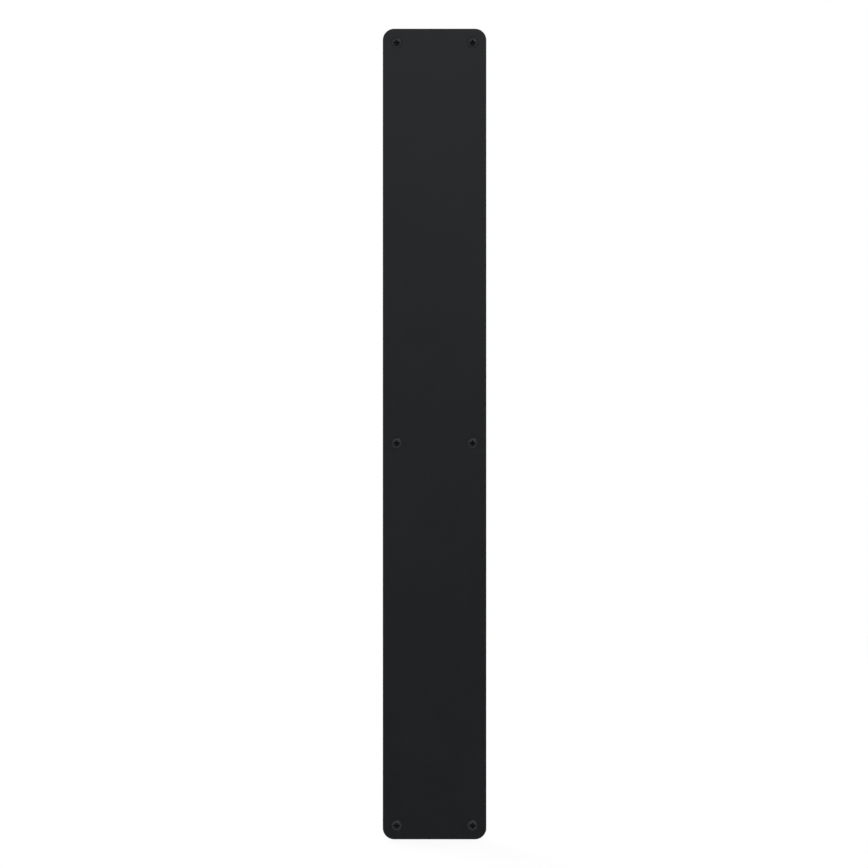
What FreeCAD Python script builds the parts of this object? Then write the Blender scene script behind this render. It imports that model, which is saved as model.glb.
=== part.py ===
import FreeCAD, Part
import math
import os
import Sketcher

# Door kick plate: one flat face sheet with rounded corners, held by six raised
# countersunk (oval head) cross-recess wood screws.
#
# Frame, in millimetres: origin at the centre of the sheet's back face, which lies
# on the door.  +X across the sheet, +Z along its long side, +Y into the door, so
# the finished face looks along -Y and the screws point along +Y.

doc = FreeCAD.newDocument("kick_plate")

SIZES = [
    # face sheet
    ("sheet_width", 101.6),          # across, 4 in
    ("sheet_length", 795.3),         # along the long side
    ("sheet_thickness", 1.27),       # 0.050 in
    ("corner_radius", 11.2),
    ("front_edge_radius", 0.4),      # eased edge all round the finished face
    # screw positions, from the centre of the sheet
    ("column_x", 37.2),
    ("end_row_z", 384.0),
    ("middle_row_z", -8.9),          # the middle pair sits below the centre line
    # countersunk holes
    ("hole_diameter", 9.1),
    ("countersink_diameter", 11.2),
    ("countersink_angle", 82.0),
    # No. 12 x 1 in oval head wood screw, undercut
    ("head_diameter", 10.6),
    ("head_raise", 1.6),
    ("head_land", 0.35),
    ("cone_height", 2.1),
    ("neck_fillet", 0.3),
    ("shank_diameter", 5.5),
    ("neck_length", 6.0),
    ("root_diameter", 3.9),
    ("screw_length", 25.4),          # from the head's widest plane to the tip
    ("point_length", 5.0),
    # cross recess
    ("recess_depth", 3.4),
    ("recess_foot", 2.7),            # end to end at the bottom of the wings
    ("recess_taper", 26.5),
    ("wing_width", 1.35),
    ("hub_mouth", 3.5),
    ("hub_foot", 2.2),
    ("hub_point", 0.5),
    ("mouth_round", 0.1),            # softened edge round the recess
    ("rim_round", 0.4),             # softened edge round the head
    # wood thread, right hand
    ("thread_pitch", 2.309),         # 11 threads to the inch
    ("thread_diameter", 5.46),
    ("thread_foot", 1.0),           # thickness of the ridge where it meets the root
    ("thread_crest", 0.06),
    ("thread_bury", 0.25),           # depth of the ridge below the root's surface
    ("point_turns", 1.5),            # odd number of half turns
    ("point_growth", 0.9),          # how far the ridge closes in per turn on the point
    ("thread_fade", 3.0),            # where on the point the ridge has run out
]

sizes = doc.addObject("Spreadsheet::Sheet", "sizes")
for row, (alias, value) in enumerate(SIZES, start=1):
    sizes.set("A%d" % row, alias)
    sizes.set("B%d" % row, "%g" % value)
    sizes.setAlias("B%d" % row, alias)
doc.recompute()


def origin_plane(body, role):
    for feature in body.Origin.OriginFeatures:
        if feature.Role == role:
            return feature
    raise ValueError("no origin feature " + role)


def new_sketch(body, name, role, offset=None):
    """An empty sketch on one of the body's own origin planes, moved along that plane's normal."""
    sketch = body.newObject("Sketcher::SketchObject", name)
    sketch.AttachmentSupport = [(origin_plane(body, role), "")]
    sketch.MapMode = "FlatFace"
    if offset is not None:
        sketch.setExpression("AttachmentOffset.Base.z", offset)
    return sketch


def pin_point(sketch, geo, pos, x, y, name):
    """Ties one point to the sketch's axes; x and y are expressions, or None for on the axis."""
    for kind, expression, axis in (("DistanceX", x, -2), ("DistanceY", y, -1)):
        if expression is None:
            sketch.addConstraint(Sketcher.Constraint("PointOnObject", geo, pos, axis))
            continue
        value = float(sketch.evalExpression(expression))
        index = sketch.addConstraint(Sketcher.Constraint(kind, geo, pos, value))
        label = "%s_%s" % (name, kind[-1].lower())
        sketch.renameConstraint(index, label)
        sketch.setExpression("Constraints." + label, expression)


def polygon(sketch, points):
    """A closed polygon through (name, x, y) points given as expressions."""
    where = [FreeCAD.Vector(float(sketch.evalExpression(x)) if x else 0.0,
                            float(sketch.evalExpression(y)) if y else 0.0, 0)
             for _, x, y in points]
    count = len(points)
    for i in range(count):
        sketch.addGeometry(Part.LineSegment(where[i], where[(i + 1) % count]), False)
    for i in range(count):
        sketch.addConstraint(Sketcher.Constraint("Coincident", i, 2, (i + 1) % count, 1))
    for i, (name, x, y) in enumerate(points):
        pin_point(sketch, i, 1, x, y, name)
    return sketch


def volume(feature):
    return feature.Shape.Volume


# ---------------------------------------------------------------- face sheet
plate = doc.addObject("PartDesign::Body", "plate_body")
plate.Label = "plate"

outline = polygon(new_sketch(plate, "plate_outline", "XZ_Plane"), [
    ("low_left", "-sizes.sheet_width / 2", "-sizes.sheet_length / 2"),
    ("low_right", "sizes.sheet_width / 2", "-sizes.sheet_length / 2"),
    ("high_right", "sizes.sheet_width / 2", "sizes.sheet_length / 2"),
    ("high_left", "-sizes.sheet_width / 2", "sizes.sheet_length / 2"),
])
doc.recompute()

sheet = plate.newObject("PartDesign::Pad", "plate_sheet")
sheet.Profile = outline
sheet.setExpression("Length", "sizes.sheet_thickness")
doc.recompute()
if sheet.Shape.BoundBox.YMax > 1e-6:      # the sheet lies on the front of the door plane
    sheet.Reversed = True
    doc.recompute()
assert abs(sheet.Shape.BoundBox.YMin + 1.27) < 1e-6 and abs(sheet.Shape.BoundBox.YMax) < 1e-6

# the four corners, seen from the front
corner_edges = ["Edge%d" % (i + 1) for i, e in enumerate(sheet.Shape.Edges)
                if abs(abs(e.tangentAt(e.FirstParameter).y) - 1) < 1e-6]
assert len(corner_edges) == 4
corners = plate.newObject("PartDesign::Fillet", "plate_corners")
corners.Base = (sheet, corner_edges)
corners.setExpression("Radius", "sizes.corner_radius")
doc.recompute()

# the outline of the finished face
front_y = -float(sizes.sheet_thickness)
rim_edges = ["Edge%d" % (i + 1) for i, e in enumerate(corners.Shape.Edges)
             if all(abs(v.Y - front_y) < 1e-6 for v in e.Vertexes)]
assert len(rim_edges) == 8
eased = plate.newObject("PartDesign::Fillet", "plate_eased_edge")
eased.Base = (corners, rim_edges)
eased.setExpression("Radius", "sizes.front_edge_radius")
doc.recompute()

# six countersunk clearance holes, drilled from the finished face
centres = new_sketch(plate, "plate_hole_centres", "XZ_Plane", "sizes.sheet_thickness")
PLACES = [
    ("screw_top_left", "-sizes.column_x", "sizes.end_row_z"),
    ("screw_top_right", "sizes.column_x", "sizes.end_row_z"),
    ("screw_middle_left", "-sizes.column_x", "sizes.middle_row_z"),
    ("screw_middle_right", "sizes.column_x", "sizes.middle_row_z"),
    ("screw_bottom_left", "-sizes.column_x", "-sizes.end_row_z"),
    ("screw_bottom_right", "sizes.column_x", "-sizes.end_row_z"),
]
for i, (name, x, z) in enumerate(PLACES):
    centre = FreeCAD.Vector(float(centres.evalExpression(x)), float(centres.evalExpression(z)), 0)
    centres.addGeometry(Part.Circle(centre, FreeCAD.Vector(0, 0, 1), float(sizes.hole_diameter) / 2), False)
    pin_point(centres, i, 3, x, z, name)
    index = centres.addConstraint(Sketcher.Constraint("Radius", i, float(sizes.hole_diameter) / 2))
    centres.renameConstraint(index, name + "_radius")
    centres.setExpression("Constraints." + name + "_radius", "sizes.hole_diameter / 2")
doc.recompute()

before = volume(eased)
holes = plate.newObject("PartDesign::Hole", "plate_holes")
holes.Profile = centres
doc.recompute()
holes.Threaded = False
holes.ThreadType = "None"
holes.DepthType = "ThroughAll"
holes.setExpression("Diameter", "sizes.hole_diameter")
holes.HoleCutType = "Countersink"
holes.HoleCutCustomValues = True
holes.setExpression("HoleCutDiameter", "sizes.countersink_diameter")
holes.setExpression("HoleCutCountersinkAngle", "sizes.countersink_angle")
doc.recompute()
assert volume(holes) < before - 200, (before, volume(holes))
plate.Tip = holes
plate.Placement = FreeCAD.Placement(FreeCAD.Vector(0, 0, 0), FreeCAD.Rotation())


# ---------------------------------------------------------------- screws
HALF_ANGLE = "sizes.countersink_angle / 2"
CONE_FOOT = "sizes.head_diameter / 2 - sizes.cone_height * tan(%s * 1deg)" % HALF_ANGLE
UNDER = "sizes.head_land + sizes.cone_height"
# depth below the finished face at which a cone of the head's diameter meets the countersink
SEAT = "(sizes.countersink_diameter - sizes.head_diameter) / 2 / tan(%s * 1deg)" % HALF_ANGLE


def make_screw(name, x, z):
    """An oval head screw along its own +Y, its origin at the centre of the head's widest plane."""
    body = doc.addObject("PartDesign::Body", name + "_body")
    body.Label = name

    # half profile: dome, land, undercut cone, plain neck, thread root, point
    profile = new_sketch(body, name + "_profile", "XY_Plane")
    points = [
        ("crown", None, "-sizes.head_raise"),
        ("rim", "sizes.head_diameter / 2", None),
        ("land", "sizes.head_diameter / 2", "sizes.head_land"),
        ("cone_foot", CONE_FOOT, UNDER),
        ("under_head", "sizes.shank_diameter / 2 + sizes.neck_fillet", UNDER),
        ("neck_top", "sizes.shank_diameter / 2", UNDER + " + sizes.neck_fillet"),
        ("neck_end", "sizes.shank_diameter / 2", UNDER + " + sizes.neck_length"),
        ("root_start", "sizes.root_diameter / 2",
         UNDER + " + sizes.neck_length + (sizes.shank_diameter - sizes.root_diameter) / 2"),
        ("root_end", "sizes.root_diameter / 2", "sizes.screw_length - sizes.point_length"),
        ("tip", None, "sizes.screw_length"),
    ]
    where = [FreeCAD.Vector(float(profile.evalExpression(px)) if px else 0.0,
                            float(profile.evalExpression(py)) if py else 0.0, 0)
             for _, px, py in points]
    raise_, radius = float(sizes.head_raise), float(sizes.head_diameter) / 2
    sphere = (radius ** 2 + raise_ ** 2) / (2 * raise_)
    circle = Part.Circle(FreeCAD.Vector(0, sphere - raise_, 0), FreeCAD.Vector(0, 0, 1), sphere)
    profile.addGeometry(Part.ArcOfCircle(circle, -math.pi / 2, -math.acos(radius / sphere)), False)
    for i in range(1, len(where)):
        profile.addGeometry(Part.LineSegment(where[i], where[(i + 1) % len(where)]), False)
    at_crown, at_rim = 1, 2
    last = len(where) - 1
    profile.addConstraint(Sketcher.Constraint("Coincident", 0, at_rim, 1, 1))
    for i in range(1, last):
        profile.addConstraint(Sketcher.Constraint("Coincident", i, 2, i + 1, 1))
    profile.addConstraint(Sketcher.Constraint("Coincident", last, 2, 0, at_crown))
    profile.addConstraint(Sketcher.Constraint("PointOnObject", 0, 3, -2))
    pin_point(profile, 0, at_crown, None, points[0][2], points[0][0])
    for i in range(1, len(points)):
        pin_point(profile, i, 1, points[i][1], points[i][2], points[i][0])
    doc.recompute()

    turned = body.newObject("PartDesign::Revolution", name + "_turned")
    turned.Profile = profile
    turned.ReferenceAxis = (profile, ["V_Axis"])
    turned.Angle = 360.0
    doc.recompute()

    # cross recess: a wing with tapered ends, repeated at a right angle, and a conical hub
    wing = polygon(new_sketch(body, name + "_wing", "XY_Plane"), [
        ("foot_left", "-sizes.recess_foot / 2", "sizes.recess_depth - sizes.head_raise"),
        ("foot_right", "sizes.recess_foot / 2", "sizes.recess_depth - sizes.head_raise"),
        ("mouth_right", "sizes.recess_foot / 2 + (sizes.recess_depth + 0.5) * tan(sizes.recess_taper * 1deg)",
         "-sizes.head_raise - 0.5"),
        ("mouth_left", "-sizes.recess_foot / 2 - (sizes.recess_depth + 0.5) * tan(sizes.recess_taper * 1deg)",
         "-sizes.head_raise - 0.5"),
    ])
    doc.recompute()
    before_wing = volume(turned)
    slot = body.newObject("PartDesign::Pocket", name + "_slot")
    slot.Profile = wing
    slot.Midplane = True
    slot.setExpression("Length", "sizes.wing_width")
    doc.recompute()
    assert volume(slot) < before_wing - 3, (before_wing, volume(slot))

    cross = body.newObject("PartDesign::PolarPattern", name + "_cross")
    cross.Originals = [slot]
    cross.Axis = (wing, ["V_Axis"])
    cross.Angle = 90.0
    cross.Occurrences = 2
    body.Tip = cross
    doc.recompute()
    assert volume(cross) < volume(slot) - 2, (volume(slot), volume(cross))

    hub = polygon(new_sketch(body, name + "_hub", "XY_Plane"), [
        ("mouth_centre", None, "-sizes.head_raise - 0.5"),
        ("mouth_edge", "sizes.hub_mouth / 2", "-sizes.head_raise - 0.5"),
        ("foot_edge", "sizes.hub_foot / 2", "sizes.recess_depth - sizes.head_raise"),
        ("foot_point", None, "sizes.recess_depth - sizes.head_raise + sizes.hub_point"),
    ])
    doc.recompute()
    bored = body.newObject("PartDesign::Groove", name + "_hub_bore")
    bored.Profile = hub
    bored.ReferenceAxis = (hub, ["V_Axis"])
    bored.Angle = 360.0
    doc.recompute()
    assert volume(bored) < volume(cross) - 0.1, (volume(cross), volume(bored))
    body.Tip = bored

    # the recess's mouth and the head's widest edge, softened as on a headed and coated screw
    crown = FreeCAD.Vector(0, sphere - raise_, 0)
    mouth, rim = [], []
    for i, edge in enumerate(bored.Shape.Edges, start=1):
        span = edge.LastParameter - edge.FirstParameter
        samples = [edge.valueAt(edge.FirstParameter + span * k / 4.0) for k in range(5)]
        if not all(abs((p - crown).Length - sphere) < 1e-4 for p in samples):
            continue
        reach = max((p.x ** 2 + p.z ** 2) ** 0.5 for p in samples)
        if reach < 0.7 * radius:
            mouth.append("Edge%d" % i)
        elif abs(reach - radius) < 1e-4:
            rim.append("Edge%d" % i)
    assert len(mouth) >= 16 and rim, (len(mouth), len(rim))
    softened = body.newObject("PartDesign::Fillet", name + "_mouth_round")
    softened.Base = (bored, mouth)
    softened.setExpression("Radius", "sizes.mouth_round")
    doc.recompute()
    rim = ["Edge%d" % i for i, edge in enumerate(softened.Shape.Edges, start=1)
           if edge.Curve.TypeId == "Part::GeomCircle" and abs(edge.Curve.Radius - radius) < 1e-4
           and abs(edge.Curve.Center.y) < 1e-4]
    rounded = body.newObject("PartDesign::Fillet", name + "_rim_round")
    rounded.Base = (softened, rim)
    rounded.setExpression("Radius", "sizes.rim_round")
    doc.recompute()

    # thread: a ridge section swept from where the point begins up the cylindrical root into the neck
    start = "sizes.screw_length - sizes.point_length"
    under_root = "sizes.root_diameter / 2 - sizes.thread_bury"
    ridge = polygon(new_sketch(body, name + "_ridge", "XY_Plane"), [
        ("foot_low", under_root, start),
        ("crest_low", "sizes.thread_diameter / 2", start + " - (sizes.thread_foot - sizes.thread_crest) / 2"),
        ("crest_high", "sizes.thread_diameter / 2", start + " - (sizes.thread_foot + sizes.thread_crest) / 2"),
        ("foot_high", under_root, start + " - sizes.thread_foot"),
    ])
    doc.recompute()
    before_thread = volume(rounded)
    thread = body.newObject("PartDesign::AdditiveHelix", name + "_thread")
    thread.Profile = ridge
    thread.ReferenceAxis = (ridge, ["V_Axis"])
    thread.Mode = "pitch-height-angle"
    thread.setExpression("Pitch", "sizes.thread_pitch")
    thread.setExpression("Height", "%s - (%s + sizes.neck_length) + sizes.thread_bury" % (start, UNDER))
    thread.Reversed = True
    doc.recompute()
    assert volume(thread) > before_thread + 5, (before_thread, volume(thread))

    # on the point the ridge keeps its depth in the cone: its last section, half a turn round from the first,
    # is swept back up, widening as the cone does, to meet the first
    closed_in = " - sizes.point_turns * sizes.point_growth)"
    last = start + " + sizes.point_turns * sizes.thread_pitch"
    last_ridge = polygon(new_sketch(body, name + "_last_ridge", "XY_Plane"), [
        ("foot_low", "-(" + under_root + closed_in, last),
        ("crest_low", "-(sizes.thread_diameter / 2" + closed_in,
         last + " - (sizes.thread_foot - sizes.thread_crest) / 2"),
        ("crest_high", "-(sizes.thread_diameter / 2" + closed_in,
         last + " - (sizes.thread_foot + sizes.thread_crest) / 2"),
        ("foot_high", "-(" + under_root + closed_in, last + " - sizes.thread_foot"),
    ])
    doc.recompute()
    on_point = body.newObject("PartDesign::AdditiveHelix", name + "_point_thread")
    on_point.Profile = last_ridge
    on_point.ReferenceAxis = (last_ridge, ["V_Axis"])
    on_point.Mode = "height-turns-growth"
    on_point.setExpression("Turns", "sizes.point_turns")
    on_point.setExpression("Height", "sizes.point_turns * sizes.thread_pitch")
    on_point.setExpression("Growth", "sizes.point_growth")
    on_point.Reversed = True
    doc.recompute()
    assert volume(on_point) > volume(thread) + 1, (volume(thread), volume(on_point))

    # the ridge is turned down along the point until it has run out into the cone
    taper = polygon(new_sketch(body, name + "_taper", "XY_Plane"), [
        ("begin", "sizes.thread_diameter / 2 + 0.1", start + " - sizes.thread_foot / 2"),
        ("fade", "sizes.root_diameter / 2 * (1 - sizes.thread_fade / sizes.point_length) + 0.01",
         start + " + sizes.thread_fade"),
        ("tip", "0.01", "sizes.screw_length + 0.01"),
        ("tip_out", "sizes.thread_diameter / 2 + 1", "sizes.screw_length + 0.01"),
        ("begin_out", "sizes.thread_diameter / 2 + 1", start + " - sizes.thread_foot / 2"),
    ])
    doc.recompute()
    pointed = body.newObject("PartDesign::Groove", name + "_pointed")
    pointed.Profile = taper
    pointed.ReferenceAxis = (taper, ["V_Axis"])
    pointed.Angle = 360.0
    doc.recompute()
    assert volume(pointed) < volume(on_point) - 0.2, (volume(on_point), volume(pointed))
    body.Tip = pointed

    # driven home: the head's cone sits in the countersink
    body.Placement = FreeCAD.Placement(FreeCAD.Vector(0, 0, 0), FreeCAD.Rotation())
    body.setExpression("Placement.Base.x", x)
    body.setExpression("Placement.Base.y",
                       "-sizes.sheet_thickness + %s - sizes.head_land" % SEAT)
    body.setExpression("Placement.Base.z", z)
    doc.recompute()
    return body


screws = [make_screw(*place) for place in PLACES]

# ---------------------------------------------------------------- check and write
doc.recompute()
for item in doc.Objects:
    if {"Invalid", "Error"} & set(item.State):
        raise RuntimeError("%s failed: %s" % (item.Name, item.State))
for item in doc.Objects:
    if item.TypeId == "Sketcher::SketchObject" and item.solve() != 0:
        raise RuntimeError("sketch %s is not solved" % item.Name)

os.makedirs("parts", exist_ok=True)
for piece in [plate] + screws:
    shape = piece.Shape
    if shape.isNull() or not shape.isValid() or len(shape.Solids) != 1:
        raise RuntimeError("%s has no valid single solid" % piece.Label)
    shape.exportStep("parts/%s.step" % piece.Label)
    box = shape.BoundBox
    print("%-20s %9.2f mm3  x %.2f..%.2f  y %.3f..%.3f  z %.2f..%.2f" % (
        piece.Label, shape.Volume, box.XMin, box.XMax, box.YMin, box.YMax, box.ZMin, box.ZMax))
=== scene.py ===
import math

import bpy
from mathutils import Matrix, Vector
from mathutils.geometry import delaunay_2d_cdt


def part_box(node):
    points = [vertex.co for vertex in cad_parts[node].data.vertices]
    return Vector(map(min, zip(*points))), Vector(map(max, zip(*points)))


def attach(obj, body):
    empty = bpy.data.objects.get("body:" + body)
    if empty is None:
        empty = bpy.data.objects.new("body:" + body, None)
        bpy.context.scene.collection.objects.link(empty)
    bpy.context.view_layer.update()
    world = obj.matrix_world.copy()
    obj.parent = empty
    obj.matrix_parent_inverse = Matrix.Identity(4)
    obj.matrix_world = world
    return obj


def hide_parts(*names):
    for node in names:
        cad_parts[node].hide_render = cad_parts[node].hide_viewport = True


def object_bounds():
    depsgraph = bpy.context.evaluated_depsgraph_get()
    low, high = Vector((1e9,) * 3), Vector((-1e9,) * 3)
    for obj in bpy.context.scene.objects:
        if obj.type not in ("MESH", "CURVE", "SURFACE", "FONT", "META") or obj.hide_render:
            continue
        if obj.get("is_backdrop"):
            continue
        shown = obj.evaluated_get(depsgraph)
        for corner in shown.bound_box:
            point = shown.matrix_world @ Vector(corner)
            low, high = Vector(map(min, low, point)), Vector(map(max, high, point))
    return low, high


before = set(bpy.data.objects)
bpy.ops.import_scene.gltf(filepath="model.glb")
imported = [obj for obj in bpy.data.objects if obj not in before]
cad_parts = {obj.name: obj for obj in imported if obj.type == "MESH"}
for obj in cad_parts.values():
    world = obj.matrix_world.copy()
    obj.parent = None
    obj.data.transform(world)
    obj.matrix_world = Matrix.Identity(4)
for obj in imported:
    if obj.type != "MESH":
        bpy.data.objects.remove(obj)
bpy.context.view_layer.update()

MM = 0.001
scene = bpy.context.scene

SCREWS = sorted(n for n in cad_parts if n.startswith("screw_"))

# ------------------------------------------------------------------ sizes: read from the frame, or the design's own
PLATE_LO, PLATE_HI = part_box("plate")
HALF_W = (PLATE_HI.x - PLATE_LO.x) / 2
HALF_L = (PLATE_HI.z - PLATE_LO.z) / 2
FRONT_Y, BACK_Y = PLATE_LO.y, PLATE_HI.y
CORNER_R = 11.2 * MM
EDGE_R = 0.4 * MM
SINK_R = 5.6 * MM          # countersink, at the finished face
HOLE_R = 4.55 * MM         # clearance hole, at the back
CONE = math.radians(41.0)  # half the countersink's angle
SINK_DEPTH = (SINK_R - HOLE_R) / math.tan(CONE)
LIP_R = 0.12 * MM          # softened lip round each countersink
CENTRES = []
for name in SCREWS:
    lo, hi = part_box(name)
    CENTRES.append(((lo.x + hi.x) / 2, (lo.z + hi.z) / 2))


# ------------------------------------------------------------------ a small mesh maker with exact corner normals
class Shell:
    def __init__(self):
        self.points, self.faces = [], []

    def point(self, x, y, z):
        self.points.append(Vector((x, y, z)))
        return len(self.points) - 1

    def face(self, corners):
        """corners: (point index, wanted normal) in order round the face; turned over if it faces the wrong way."""
        p = [self.points[i] for i, _ in corners]
        normal = Vector((0, 0, 0))
        for k in range(1, len(p) - 1):
            normal += (p[k] - p[0]).cross(p[k + 1] - p[0])
        want = sum((n for _, n in corners), Vector((0, 0, 0)))
        if normal.dot(want) < 0:
            corners = corners[::-1]
        self.faces.append(corners)

    def band(self, upper, lower, closed=True):
        n = len(upper)
        for i in range(n if closed else n - 1):
            j = (i + 1) % n
            self.face([upper[i], upper[j], lower[j], lower[i]])

    def finish(self, name):
        mesh = bpy.data.meshes.new(name)
        mesh.from_pydata([tuple(p) for p in self.points], [], [[i for i, _ in f] for f in self.faces])
        mesh.validate()
        for poly in mesh.polygons:
            poly.use_smooth = True
        mesh.normals_split_custom_set([tuple(n) for f in self.faces for _, n in f])
        mesh.update()
        obj = bpy.data.objects.new(name, mesh)
        scene.collection.objects.link(obj)
        return obj


# ------------------------------------------------------------------ the face sheet
def outline(inset, segments=40):
    """(x, z, normal x, normal z) round the plate's outline moved in by inset."""
    r, pts = CORNER_R - inset, []
    for cx, cz, a0 in ((1, 1, 0.0), (-1, 1, 90.0), (-1, -1, 180.0), (1, -1, 270.0)):
        ox, oz = cx * (HALF_W - CORNER_R), cz * (HALF_L - CORNER_R)
        for i in range(segments + 1):
            a = math.radians(a0 + 90.0 * i / segments)
            pts.append((ox + r * math.cos(a), oz + r * math.sin(a), math.cos(a), math.sin(a)))
    out = []
    for i, p in enumerate(pts):
        q = pts[(i + 1) % len(pts)]
        out.append(p)
        parts = int(math.hypot(q[0] - p[0], q[1] - p[1]) // (20 * MM))
        for k in range(1, parts + 1):
            t = k / (parts + 1)
            out.append((p[0] + (q[0] - p[0]) * t, p[1] + (q[1] - p[1]) * t, p[2], p[3]))
    return out


def flat_face(shell, outer, holes, y, normal):
    """The flat face between the outline and the holes, in near-even triangles."""
    flat, edges, known = [], [], []
    for loop in [outer] + holes:
        start, m = len(flat), len(loop)
        for i, _ in loop:
            flat.append(Vector((shell.points[i].x, shell.points[i].z)))
            known.append(i)
        edges += [(start + i, start + (i + 1) % m) for i in range(m)]
    boundary = len(flat)
    radii = [(flat_hole[0][0], c) for flat_hole, c in zip(holes, CENTRES)]
    rims = [((shell.points[i] - Vector((c[0], shell.points[i].y, c[1]))).length, c) for i, c in radii]
    step = 12.7 * MM
    nx, nz = int(HALF_W // step), int(HALF_L // step)
    for gx in range(-nx, nx + 1):
        for gz in range(-nz, nz + 1):
            x, z = gx * step, gz * step
            if abs(x) > HALF_W - 4 * MM or abs(z) > HALF_L - 4 * MM:
                continue
            if abs(x) > HALF_W - CORNER_R and abs(z) > HALF_L - CORNER_R:
                continue
            if any(math.hypot(x - c[0], z - c[1]) < 9 * MM for c in CENTRES):
                continue
            flat.append(Vector((x, z)))
    for c in CENTRES:
        for rad, count in ((5.6 * MM, 48), (7.4 * MM, 24)):
            for i in range(count):
                a = 2 * math.pi * (i + 0.5) / count
                flat.append(Vector((c[0] + rad * math.cos(a), c[1] + rad * math.sin(a))))
    co, _, tris, origins, _, _ = delaunay_2d_cdt(flat, edges, [], 1, 1e-8)
    index = []
    for p, o in zip(co, origins):
        old = [k for k in o if k < boundary]
        index.append(known[old[0]] if old else shell.point(p.x, y, p.y))
    for t in tris:
        mid = sum((co[k] for k in t), Vector((0, 0))) / 3
        if any(math.hypot(mid.x - c[0], mid.y - c[1]) < rad * math.cos(math.pi / 96) for rad, c in rims):
            continue
        shell.face([(index[k], normal) for k in t])


def make_plate():
    shell = Shell()
    turn = math.pi / 2
    rows = []
    for k in range(9):      # eased front edge
        a = turn * k / 8
        rows.append((EDGE_R * (1 - math.sin(a)), FRONT_Y + EDGE_R * (1 - math.cos(a)), math.sin(a), -math.cos(a)))
    broken = 0.05 * MM      # the sheared back edge, just broken
    for k in range(4):
        a = turn * k / 3
        rows.append((broken * (1 - math.cos(a)), BACK_Y - broken * (1 - math.sin(a)), math.cos(a), math.sin(a)))
    rings = []
    for inset, y, side, along in rows:
        rings.append([(shell.point(x, y, z), Vector((nx * side, along, nz * side)).normalized())
                      for x, z, nx, nz in outline(inset)])
    for upper, lower in zip(rings, rings[1:]):
        shell.band(upper, lower)

    count = 96
    fronts, backs = [], []
    lip = math.pi / 2 - CONE
    for cx, cz in CENTRES:
        profile = []
        for k in range(5):
            a = lip * k / 4
            profile.append((SINK_R + LIP_R * math.tan(lip / 2) - LIP_R * math.sin(a),
                            FRONT_Y + LIP_R * (1 - math.cos(a)), -math.sin(a), -math.cos(a)))
        profile.append((HOLE_R, FRONT_Y + SINK_DEPTH, -math.cos(CONE), -math.sin(CONE)))
        loops = []
        for r, y, inward, along in profile:
            loops.append([(shell.point(cx + r * math.cos(2 * math.pi * i / count), y,
                                       cz + r * math.sin(2 * math.pi * i / count)),
                           Vector((inward * math.cos(2 * math.pi * i / count), along,
                                   inward * math.sin(2 * math.pi * i / count))).normalized())
                          for i in range(count)])
        for upper, lower in zip(loops, loops[1:]):
            shell.band(upper, lower)
        radial = [Vector((-math.cos(2 * math.pi * i / count), 0, -math.sin(2 * math.pi * i / count)))
                  for i in range(count)]
        top = [(p, radial[i]) for i, (p, _) in enumerate(loops[-1])]
        low = [(shell.point(cx + HOLE_R * math.cos(2 * math.pi * i / count), BACK_Y,
                            cz + HOLE_R * math.sin(2 * math.pi * i / count)), radial[i]) for i in range(count)]
        shell.band(top, low)
        fronts.append(loops[0])
        backs.append(low)
    flat_face(shell, rings[0], fronts, FRONT_Y, Vector((0, -1, 0)))
    flat_face(shell, rings[-1], backs, BACK_Y, Vector((0, 1, 0)))
    return shell.finish("face_sheet")


# ------------------------------------------------------------------ materials
def new_material(name):
    m = bpy.data.materials.new(name)
    m.use_nodes = True
    tree = m.node_tree
    tree.nodes.clear()
    out = tree.nodes.new("ShaderNodeOutputMaterial")
    bsdf = tree.nodes.new("ShaderNodeBsdfPrincipled")
    tree.links.new(bsdf.outputs["BSDF"], out.inputs["Surface"])
    return m, tree, bsdf


def node(tree, kind, **values):
    n = tree.nodes.new(kind)
    for key, value in values.items():
        if key.startswith("_"):
            setattr(n, key[1:], value)
        else:
            n.inputs[key.replace("_", " ")].default_value = value
    return n


def noise(tree, coords, scale, detail=2.0, roughness=0.5):
    n = node(tree, "ShaderNodeTexNoise", Scale=scale, Detail=detail, Roughness=roughness)
    tree.links.new(coords, n.inputs["Vector"])
    return n.outputs["Fac"]


def ramp(tree, source, low, high, lo_in=0.3, hi_in=0.7):
    n = tree.nodes.new("ShaderNodeMapRange")
    n.inputs["From Min"].default_value, n.inputs["From Max"].default_value = lo_in, hi_in
    n.inputs["To Min"].default_value, n.inputs["To Max"].default_value = low, high
    tree.links.new(source, n.inputs["Value"])
    return n.outputs["Result"]


def calc(tree, operation, *values):
    """One Math node; a value is a number or another node's output."""
    n = tree.nodes.new("ShaderNodeMath")
    n.operation = operation
    for i, v in enumerate(values):
        if isinstance(v, (int, float)):
            n.inputs[i].default_value = v
        else:
            tree.links.new(v, n.inputs[i])
    return n.outputs[0]


def smooth(tree, value, low, high):
    """0 below low, 1 above high, eased between."""
    n = tree.nodes.new("ShaderNodeMapRange")
    n.interpolation_type = "SMOOTHSTEP"
    n.inputs["From Min"].default_value, n.inputs["From Max"].default_value = low, high
    tree.links.new(value, n.inputs["Value"])
    return n.outputs["Result"]


def mix_colour(tree, factor, a, b):
    """a and b are colours or other nodes' outputs."""
    n = tree.nodes.new("ShaderNodeMix")
    n.data_type = "RGBA"
    tree.links.new(factor, n.inputs["Factor"])
    for socket, value in ((n.inputs[6], a), (n.inputs[7], b)):
        if isinstance(value, tuple):
            socket.default_value = (*value, 1)
        else:
            tree.links.new(value, socket)
    return n.outputs[2]


def bump(tree, height, distance, strength=1.0, under=None):
    n = node(tree, "ShaderNodeBump", Strength=strength, Distance=distance)
    tree.links.new(height, n.inputs["Height"])
    if under is not None:
        tree.links.new(under, n.inputs["Normal"])
    return n.outputs["Normal"]


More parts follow.
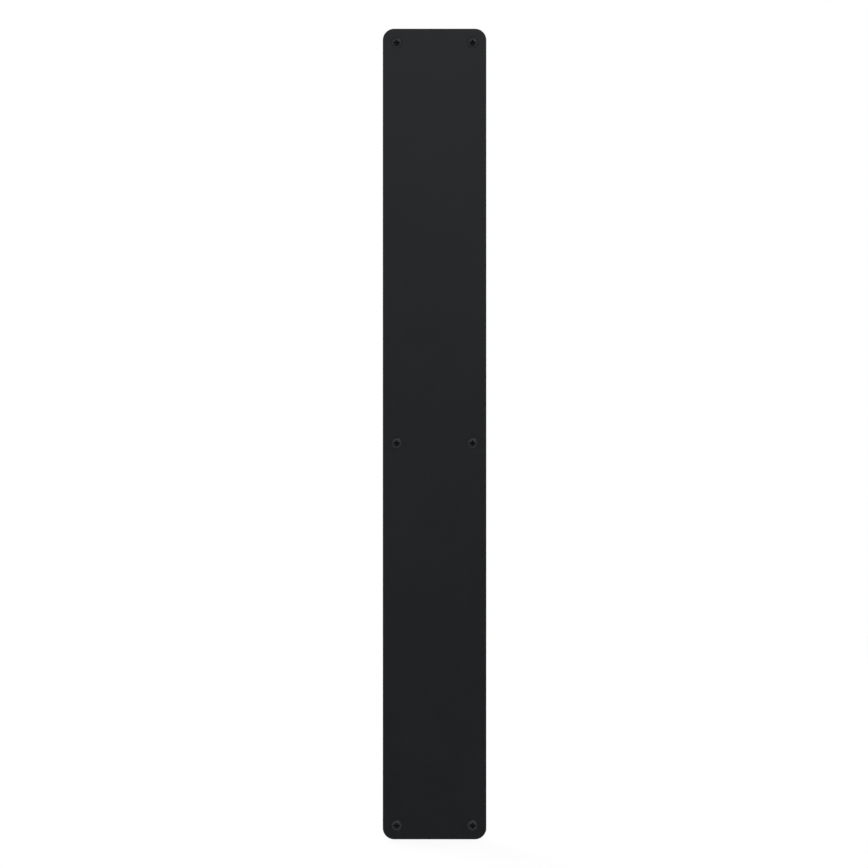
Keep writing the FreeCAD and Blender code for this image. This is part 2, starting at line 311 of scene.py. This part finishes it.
def black_coat():
    """Satin black powder coat: long orange peel, a fine grain over it, slight changes of gloss."""
    m, tree, bsdf = new_material("black_coat_satin")
    coords = tree.nodes.new("ShaderNodeTexCoord").outputs["Object"]
    broad = noise(tree, coords, 14.0, 3.0, 0.55)
    patch = noise(tree, coords, 160.0, 2.0, 0.5)
    peel = noise(tree, coords, 420.0, 1.5, 0.5)
    grain = noise(tree, coords, 2700.0, 2.5, 0.6)
    colour = mix_colour(tree, ramp(tree, broad, 0, 1), (0.0050, 0.0054, 0.0066), (0.0062, 0.0066, 0.0078))
    # grains of pigment, a little paler or darker than the rest
    colour = mix_colour(tree, calc(tree, "MULTIPLY", smooth(tree, grain, 0.54, 0.70), 0.6), colour,
                        (0.0200, 0.0206, 0.0218))
    tree.links.new(colour, bsdf.inputs["Base Color"])
    gloss = calc(tree, "ADD", ramp(tree, broad, 0.408, 0.432), ramp(tree, patch, -0.008, 0.008))
    gloss = calc(tree, "ADD", gloss, ramp(tree, grain, -0.03, 0.03))
    tree.links.new(gloss, bsdf.inputs["Roughness"])
    under = bump(tree, peel, 0.020 * MM)
    tree.links.new(bump(tree, grain, 0.024 * MM, under=under), bsdf.inputs["Normal"])
    bsdf.inputs["IOR"].default_value = 1.5
    return m


HEAD_R, HEAD_RAISE, HEAD_Y = 5.3, 1.6, -1.275          # mm: the oval head, and the height of its widest plane
DOME_R = (HEAD_R ** 2 + HEAD_RAISE ** 2) / (2 * HEAD_RAISE)
CROSS_R, WING, HUB_R = 2.8, 0.675, 1.65                # mm: the cross recess's mouth


def black_screw(name, centre):
    """Black oxide over steel: mottled, a little paler round the recess's mouth and the head's rim, where it rubs;
    painted shade darkens the inside of the cross recess.
    """
    m, tree, bsdf = new_material("black_oxide_" + name)
    coords = tree.nodes.new("ShaderNodeTexCoord").outputs["Object"]
    mottle = noise(tree, coords, 900.0, 3.0, 0.6)
    grain = noise(tree, coords, 6000.0, 2.0, 0.6)
    rub = noise(tree, coords, 1700.0, 3.0, 0.65)

    own = tree.nodes.new("ShaderNodeVectorMath")       # place on this screw, in mm
    own.operation = "MULTIPLY_ADD"
    tree.links.new(coords, own.inputs[0])
    own.inputs[1].default_value = (1000, 1000, 1000)
    own.inputs[2].default_value = (-1000 * centre[0], -HEAD_Y, -1000 * centre[1])
    axes = tree.nodes.new("ShaderNodeSeparateXYZ")
    tree.links.new(own.outputs[0], axes.inputs[0])
    ax, az = calc(tree, "ABSOLUTE", axes.outputs["X"]), calc(tree, "ABSOLUTE", axes.outputs["Z"])
    r2 = calc(tree, "ADD", calc(tree, "MULTIPLY", ax, ax), calc(tree, "MULTIPLY", az, az))
    r = calc(tree, "SQRT", r2)
    drop = calc(tree, "SQRT", calc(tree, "MAXIMUM", calc(tree, "SUBTRACT", DOME_R ** 2, r2), 0.0))
    below = calc(tree, "ADD", calc(tree, "SUBTRACT", axes.outputs["Y"], DOME_R - HEAD_RAISE), drop)
    wing = calc(tree, "MAXIMUM", calc(tree, "SUBTRACT", calc(tree, "MINIMUM", ax, az), WING),
                calc(tree, "SUBTRACT", calc(tree, "MAXIMUM", ax, az), CROSS_R))
    gap = calc(tree, "MINIMUM", wing, calc(tree, "SUBTRACT", r, HUB_R))
    at_mouth = calc(tree, "MULTIPLY", calc(tree, "SUBTRACT", 1.0, smooth(tree, gap, 0.02, 0.22)),
                    calc(tree, "SUBTRACT", 1.0, smooth(tree, below, 0.12, 0.40)))
    at_rim = calc(tree, "SUBTRACT", 1.0,
                  smooth(tree, calc(tree, "ABSOLUTE", calc(tree, "SUBTRACT", r, HEAD_R - 0.12)), 0.04, 0.30))
    worn = calc(tree, "MAXIMUM", calc(tree, "MULTIPLY", at_mouth, 0.60), calc(tree, "MULTIPLY", at_rim, 0.22))
    worn = calc(tree, "MULTIPLY", worn, smooth(tree, rub, 0.36, 0.64))
    # painted shade: darker deep inside the cross recess, below the dome and near the axis, where little light
    # reaches
    recess_painted_shade = calc(tree, "MULTIPLY", smooth(tree, below, 0.3, 1.2),
                  calc(tree, "SUBTRACT", 1.0, smooth(tree, r, HEAD_R - 1.9, HEAD_R - 1.7)))

    colour = mix_colour(tree, ramp(tree, mottle, 0, 1), (0.0380, 0.0390, 0.0408), (0.0494, 0.0504, 0.0520))
    # the painted recess shade, mixed in towards near-black
    colour = mix_colour(tree, calc(tree, "MULTIPLY", recess_painted_shade, 0.12), colour, (0.012, 0.012, 0.012))
    colour = mix_colour(tree, worn, colour, (0.135, 0.134, 0.132))
    tree.links.new(colour, bsdf.inputs["Base Color"])
    bsdf.inputs["Metallic"].default_value = 1.0
    gloss = calc(tree, "ADD", ramp(tree, mottle, 0.30, 0.38), ramp(tree, grain, -0.02, 0.02))
    tree.links.new(calc(tree, "SUBTRACT", gloss, calc(tree, "MULTIPLY", worn, 0.08)), bsdf.inputs["Roughness"])
    under = bump(tree, mottle, 0.004 * MM)
    tree.links.new(bump(tree, grain, 0.0015 * MM, under=under), bsdf.inputs["Normal"])
    return m


plate = make_plate()
plate.data.materials.append(black_coat())
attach(plate, "root")
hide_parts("plate")

for name, centre in zip(SCREWS, CENTRES):
    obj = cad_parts[name]
    finish = black_screw(name, centre)
    if not obj.material_slots:
        obj.data.materials.append(finish)
    for place in obj.material_slots:
        place.material = finish

# ------------------------------------------------------------------ stage, light and camera
FLOOR_Z = PLATE_LO.z - 0.0005


def make_floor():
    shell = Shell()
    up = Vector((0, 0, 1))
    corners = [(-2.4, -1.2), (2.4, -1.2), (2.4, 2.4), (-2.4, 2.4)]
    shell.face([(shell.point(x, y, FLOOR_Z), up) for x, y in corners])
    obj = shell.finish("floor")
    m = bpy.data.materials.new("pale_floor")
    m.use_nodes = True
    tree = m.node_tree
    tree.nodes.clear()
    out = tree.nodes.new("ShaderNodeOutputMaterial")
    pale = node(tree, "ShaderNodeBsdfDiffuse", Color=(0.88, 0.86, 0.83, 1))
    shade = node(tree, "ShaderNodeBsdfDiffuse", Color=(FLOOR_SHADE * 1.03, FLOOR_SHADE, FLOOR_SHADE * 0.965, 1))
    glow = node(tree, "ShaderNodeEmission", Color=(1, 1, 1, 1), Strength=FLOOR_LIFT)
    both = tree.nodes.new("ShaderNodeAddShader")
    tree.links.new(shade.outputs[0], both.inputs[0])
    tree.links.new(glow.outputs[0], both.inputs[1])
    seen = tree.nodes.new("ShaderNodeMixShader")
    tree.links.new(tree.nodes.new("ShaderNodeLightPath").outputs["Is Camera Ray"], seen.inputs["Fac"])
    tree.links.new(pale.outputs[0], seen.inputs[1])
    tree.links.new(both.outputs[0], seen.inputs[2])
    tree.links.new(seen.outputs[0], out.inputs["Surface"])
    obj.data.materials.append(m)
    obj.visible_glossy = False
    obj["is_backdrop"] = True


# to the camera the floor is white with a faint contact shadow; what it throws on the object is a pale floor's light
FLOOR_LIFT, FLOOR_SHADE = 0.875, 0.2
make_floor()

# The studio: white to the camera.  The light it gives is wide and even from the sides and above, and dims towards
# the camera, from light above to dark below, which is what a flat satin sheet shows from the front.
WIDE, WIDE_RISE = 0.68, -0.05
AXIS, AXIS_RISE, AXIS_LEAST, AXIS_MOST = 0.130, 2.66, 0.0, 1.20
BEHIND = 0.34
world = bpy.data.worlds.new("studio")
scene.world = world
world.use_nodes = True
wt = world.node_tree
wt.nodes.clear()

w_out = wt.nodes.new("ShaderNodeOutputWorld")
w_light = node(wt, "ShaderNodeBackground", Color=(0.97, 1.0, 1.04, 1))
w_white = node(wt, "ShaderNodeBackground", Color=(1, 1, 1, 1), Strength=1.0)
w_mix = wt.nodes.new("ShaderNodeMixShader")
w_path = wt.nodes.new("ShaderNodeLightPath")
w_sep = wt.nodes.new("ShaderNodeSeparateXYZ")
wt.links.new(wt.nodes.new("ShaderNodeTexCoord").outputs["Generated"], w_sep.inputs[0])
w_up = w_sep.outputs["Z"]
w_near = smooth(wt, calc(wt, "MULTIPLY", w_sep.outputs["Y"], -1.0), 0.68, 0.95)
w_wide = calc(wt, "MULTIPLY_ADD", w_up, WIDE_RISE, WIDE)
w_axis = calc(wt, "MINIMUM", calc(wt, "MAXIMUM", calc(wt, "MULTIPLY_ADD", w_up, AXIS_RISE, AXIS), AXIS_LEAST), AXIS_MOST)
w_front = calc(wt, "MULTIPLY_ADD", w_near, calc(wt, "SUBTRACT", w_axis, w_wide), w_wide)
w_side = smooth(wt, calc(wt, "MULTIPLY", w_sep.outputs["Y"], -1.0), -0.05, 0.35)
w_strength = calc(wt, "MULTIPLY_ADD", w_side, calc(wt, "SUBTRACT", w_front, BEHIND), BEHIND)
wt.links.new(w_strength, w_light.inputs["Strength"])
wt.links.new(w_path.outputs["Is Camera Ray"], w_mix.inputs["Fac"])
wt.links.new(w_light.outputs[0], w_mix.inputs[1])
wt.links.new(w_white.outputs[0], w_mix.inputs[2])
wt.links.new(w_mix.outputs[0], w_out.inputs["Surface"])


def softbox(name, place, target, size, power):
    data = bpy.data.lights.new(name, "AREA")
    data.shape = "RECTANGLE"
    data.size, data.size_y = size
    data.energy = power
    obj = bpy.data.objects.new(name, data)
    scene.collection.objects.link(obj)
    obj.location = place
    obj.rotation_mode = "QUATERNION"
    obj.rotation_quaternion = (Vector(target) - Vector(place)).to_track_quat("-Z", "Y")
    obj.visible_camera = False
    return obj


softbox("key", (1.1, -1.7, 2.2), (0.0, 0.0, 0.1), (2.6, 1.6), 5.0)
softbox("back_key", (-1.3, 1.9, 1.4), (0.0, 0.0, 0.0), (1.8, 1.2), 26.0)
softbox("back_rim", (1.6, 1.3, 0.1), (0.0, 0.0, 0.0), (0.5, 1.6), 12.0)

camera_data = bpy.data.cameras.new("camera")
camera_data.lens = 100.0
camera_data.sensor_width = 36.0
camera = bpy.data.objects.new("camera", camera_data)
scene.collection.objects.link(camera)
scene.camera = camera
PX = 101.6 * MM / 103.57            # one picture element on the plate's face
distance = 868 * PX * camera_data.lens / camera_data.sensor_width
camera.location = (-0.565 * PX, FRONT_Y - distance, 0.025 * PX)
camera.rotation_euler = (math.pi / 2, 0, 0)
camera_data.clip_start, camera_data.clip_end = 0.05, 50.0

scene.view_settings.view_transform = "Standard"
scene.view_settings.look = "None"
scene.view_settings.exposure = 0.0
scene.view_settings.gamma = 1.0

lo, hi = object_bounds()
